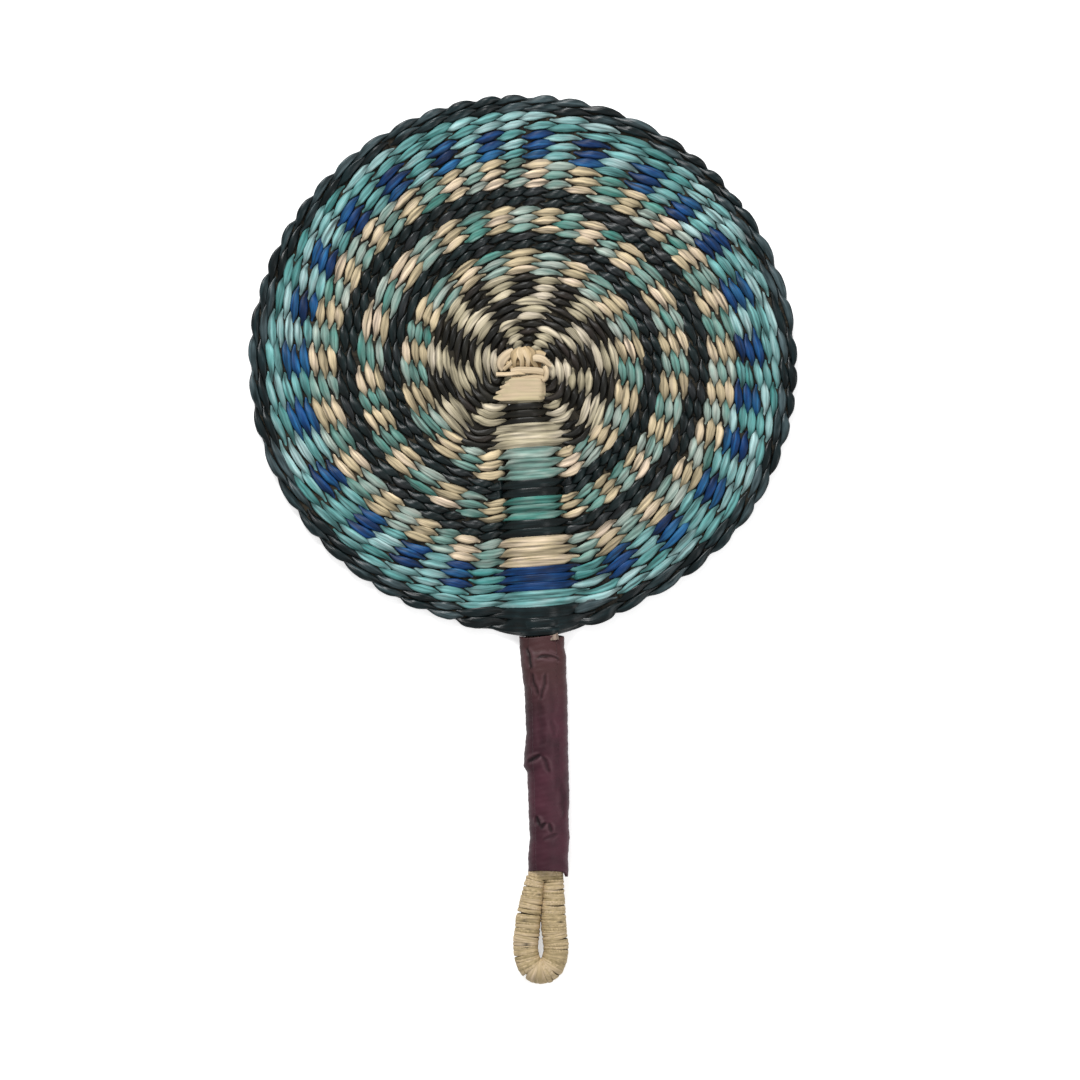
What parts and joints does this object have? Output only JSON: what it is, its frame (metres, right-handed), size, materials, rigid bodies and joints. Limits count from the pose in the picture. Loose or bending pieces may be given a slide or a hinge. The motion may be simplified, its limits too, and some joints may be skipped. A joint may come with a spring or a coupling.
{
  "type": "straw hand fan",
  "caption": "Round hand fan of twined dyed straw in concentric bands, on a straw handle with a leather sleeve and a bound hanging loop.",
  "frame": {"origin": "centre of the blade, on the plane that the fan's back lies on", "axes": "+Z out of the front of the blade, +Y from the hanging loop to the top of the blade"},
  "size_m": [0.254, 0.4167, 0.0163],
  "materials": {
    "natural_straw": "undyed dry straw, matt",
    "cream_straw": "pale straw, matt",
    "aqua_straw": "straw dyed pale green blue, matt",
    "blue_straw": "straw dyed deep blue, matt",
    "black_straw": "straw dyed black, slight sheen",
    "bundle_straw": "undyed straw, matt",
    "leather": "thin dyed goatskin, satin, creased",
    "raffia": "dry raffia strip, matt"
  },
  "bodies": {
    "root": {"centre_check_over_strand": "natural_straw", "centre_check_under_strand": "black_straw", "check_turn_over_strand": "black_straw", "check_turn_under_strand": "natural_straw", "outer_check_over_strand": "natural_straw", "outer_check_under_strand": "black_straw", "inner_band_over_strand": "aqua_straw", "inner_band_under_strand": "cream_straw", "inner_ring_over_strand": "black_straw", "inner_ring_under_strand": "black_straw", "middle_band_over_strand": "aqua_straw", "middle_band_under_strand": "cream_straw", "outer_ring_over_strand": "black_straw", "outer_ring_under_strand": "black_straw", "cream_band_over_strand": "cream_straw", "cream_band_under_strand": "aqua_straw", "blue_band_over_strand": "blue_straw", "blue_band_under_strand": "aqua_straw", "aqua_band_over_strand": "aqua_straw", "aqua_band_under_strand": "aqua_straw", "rim_over_strand": "black_straw", "rim_under_strand": "black_straw", "warp_stakes": "bundle_straw", "handle_core": "bundle_straw", "leather_sleeve": "leather", "loop_core": "bundle_straw", "loop_binding": "raffia", "neck_whipping": "raffia", "centre_knot": "natural_straw"}
  },
  "joints": []
}
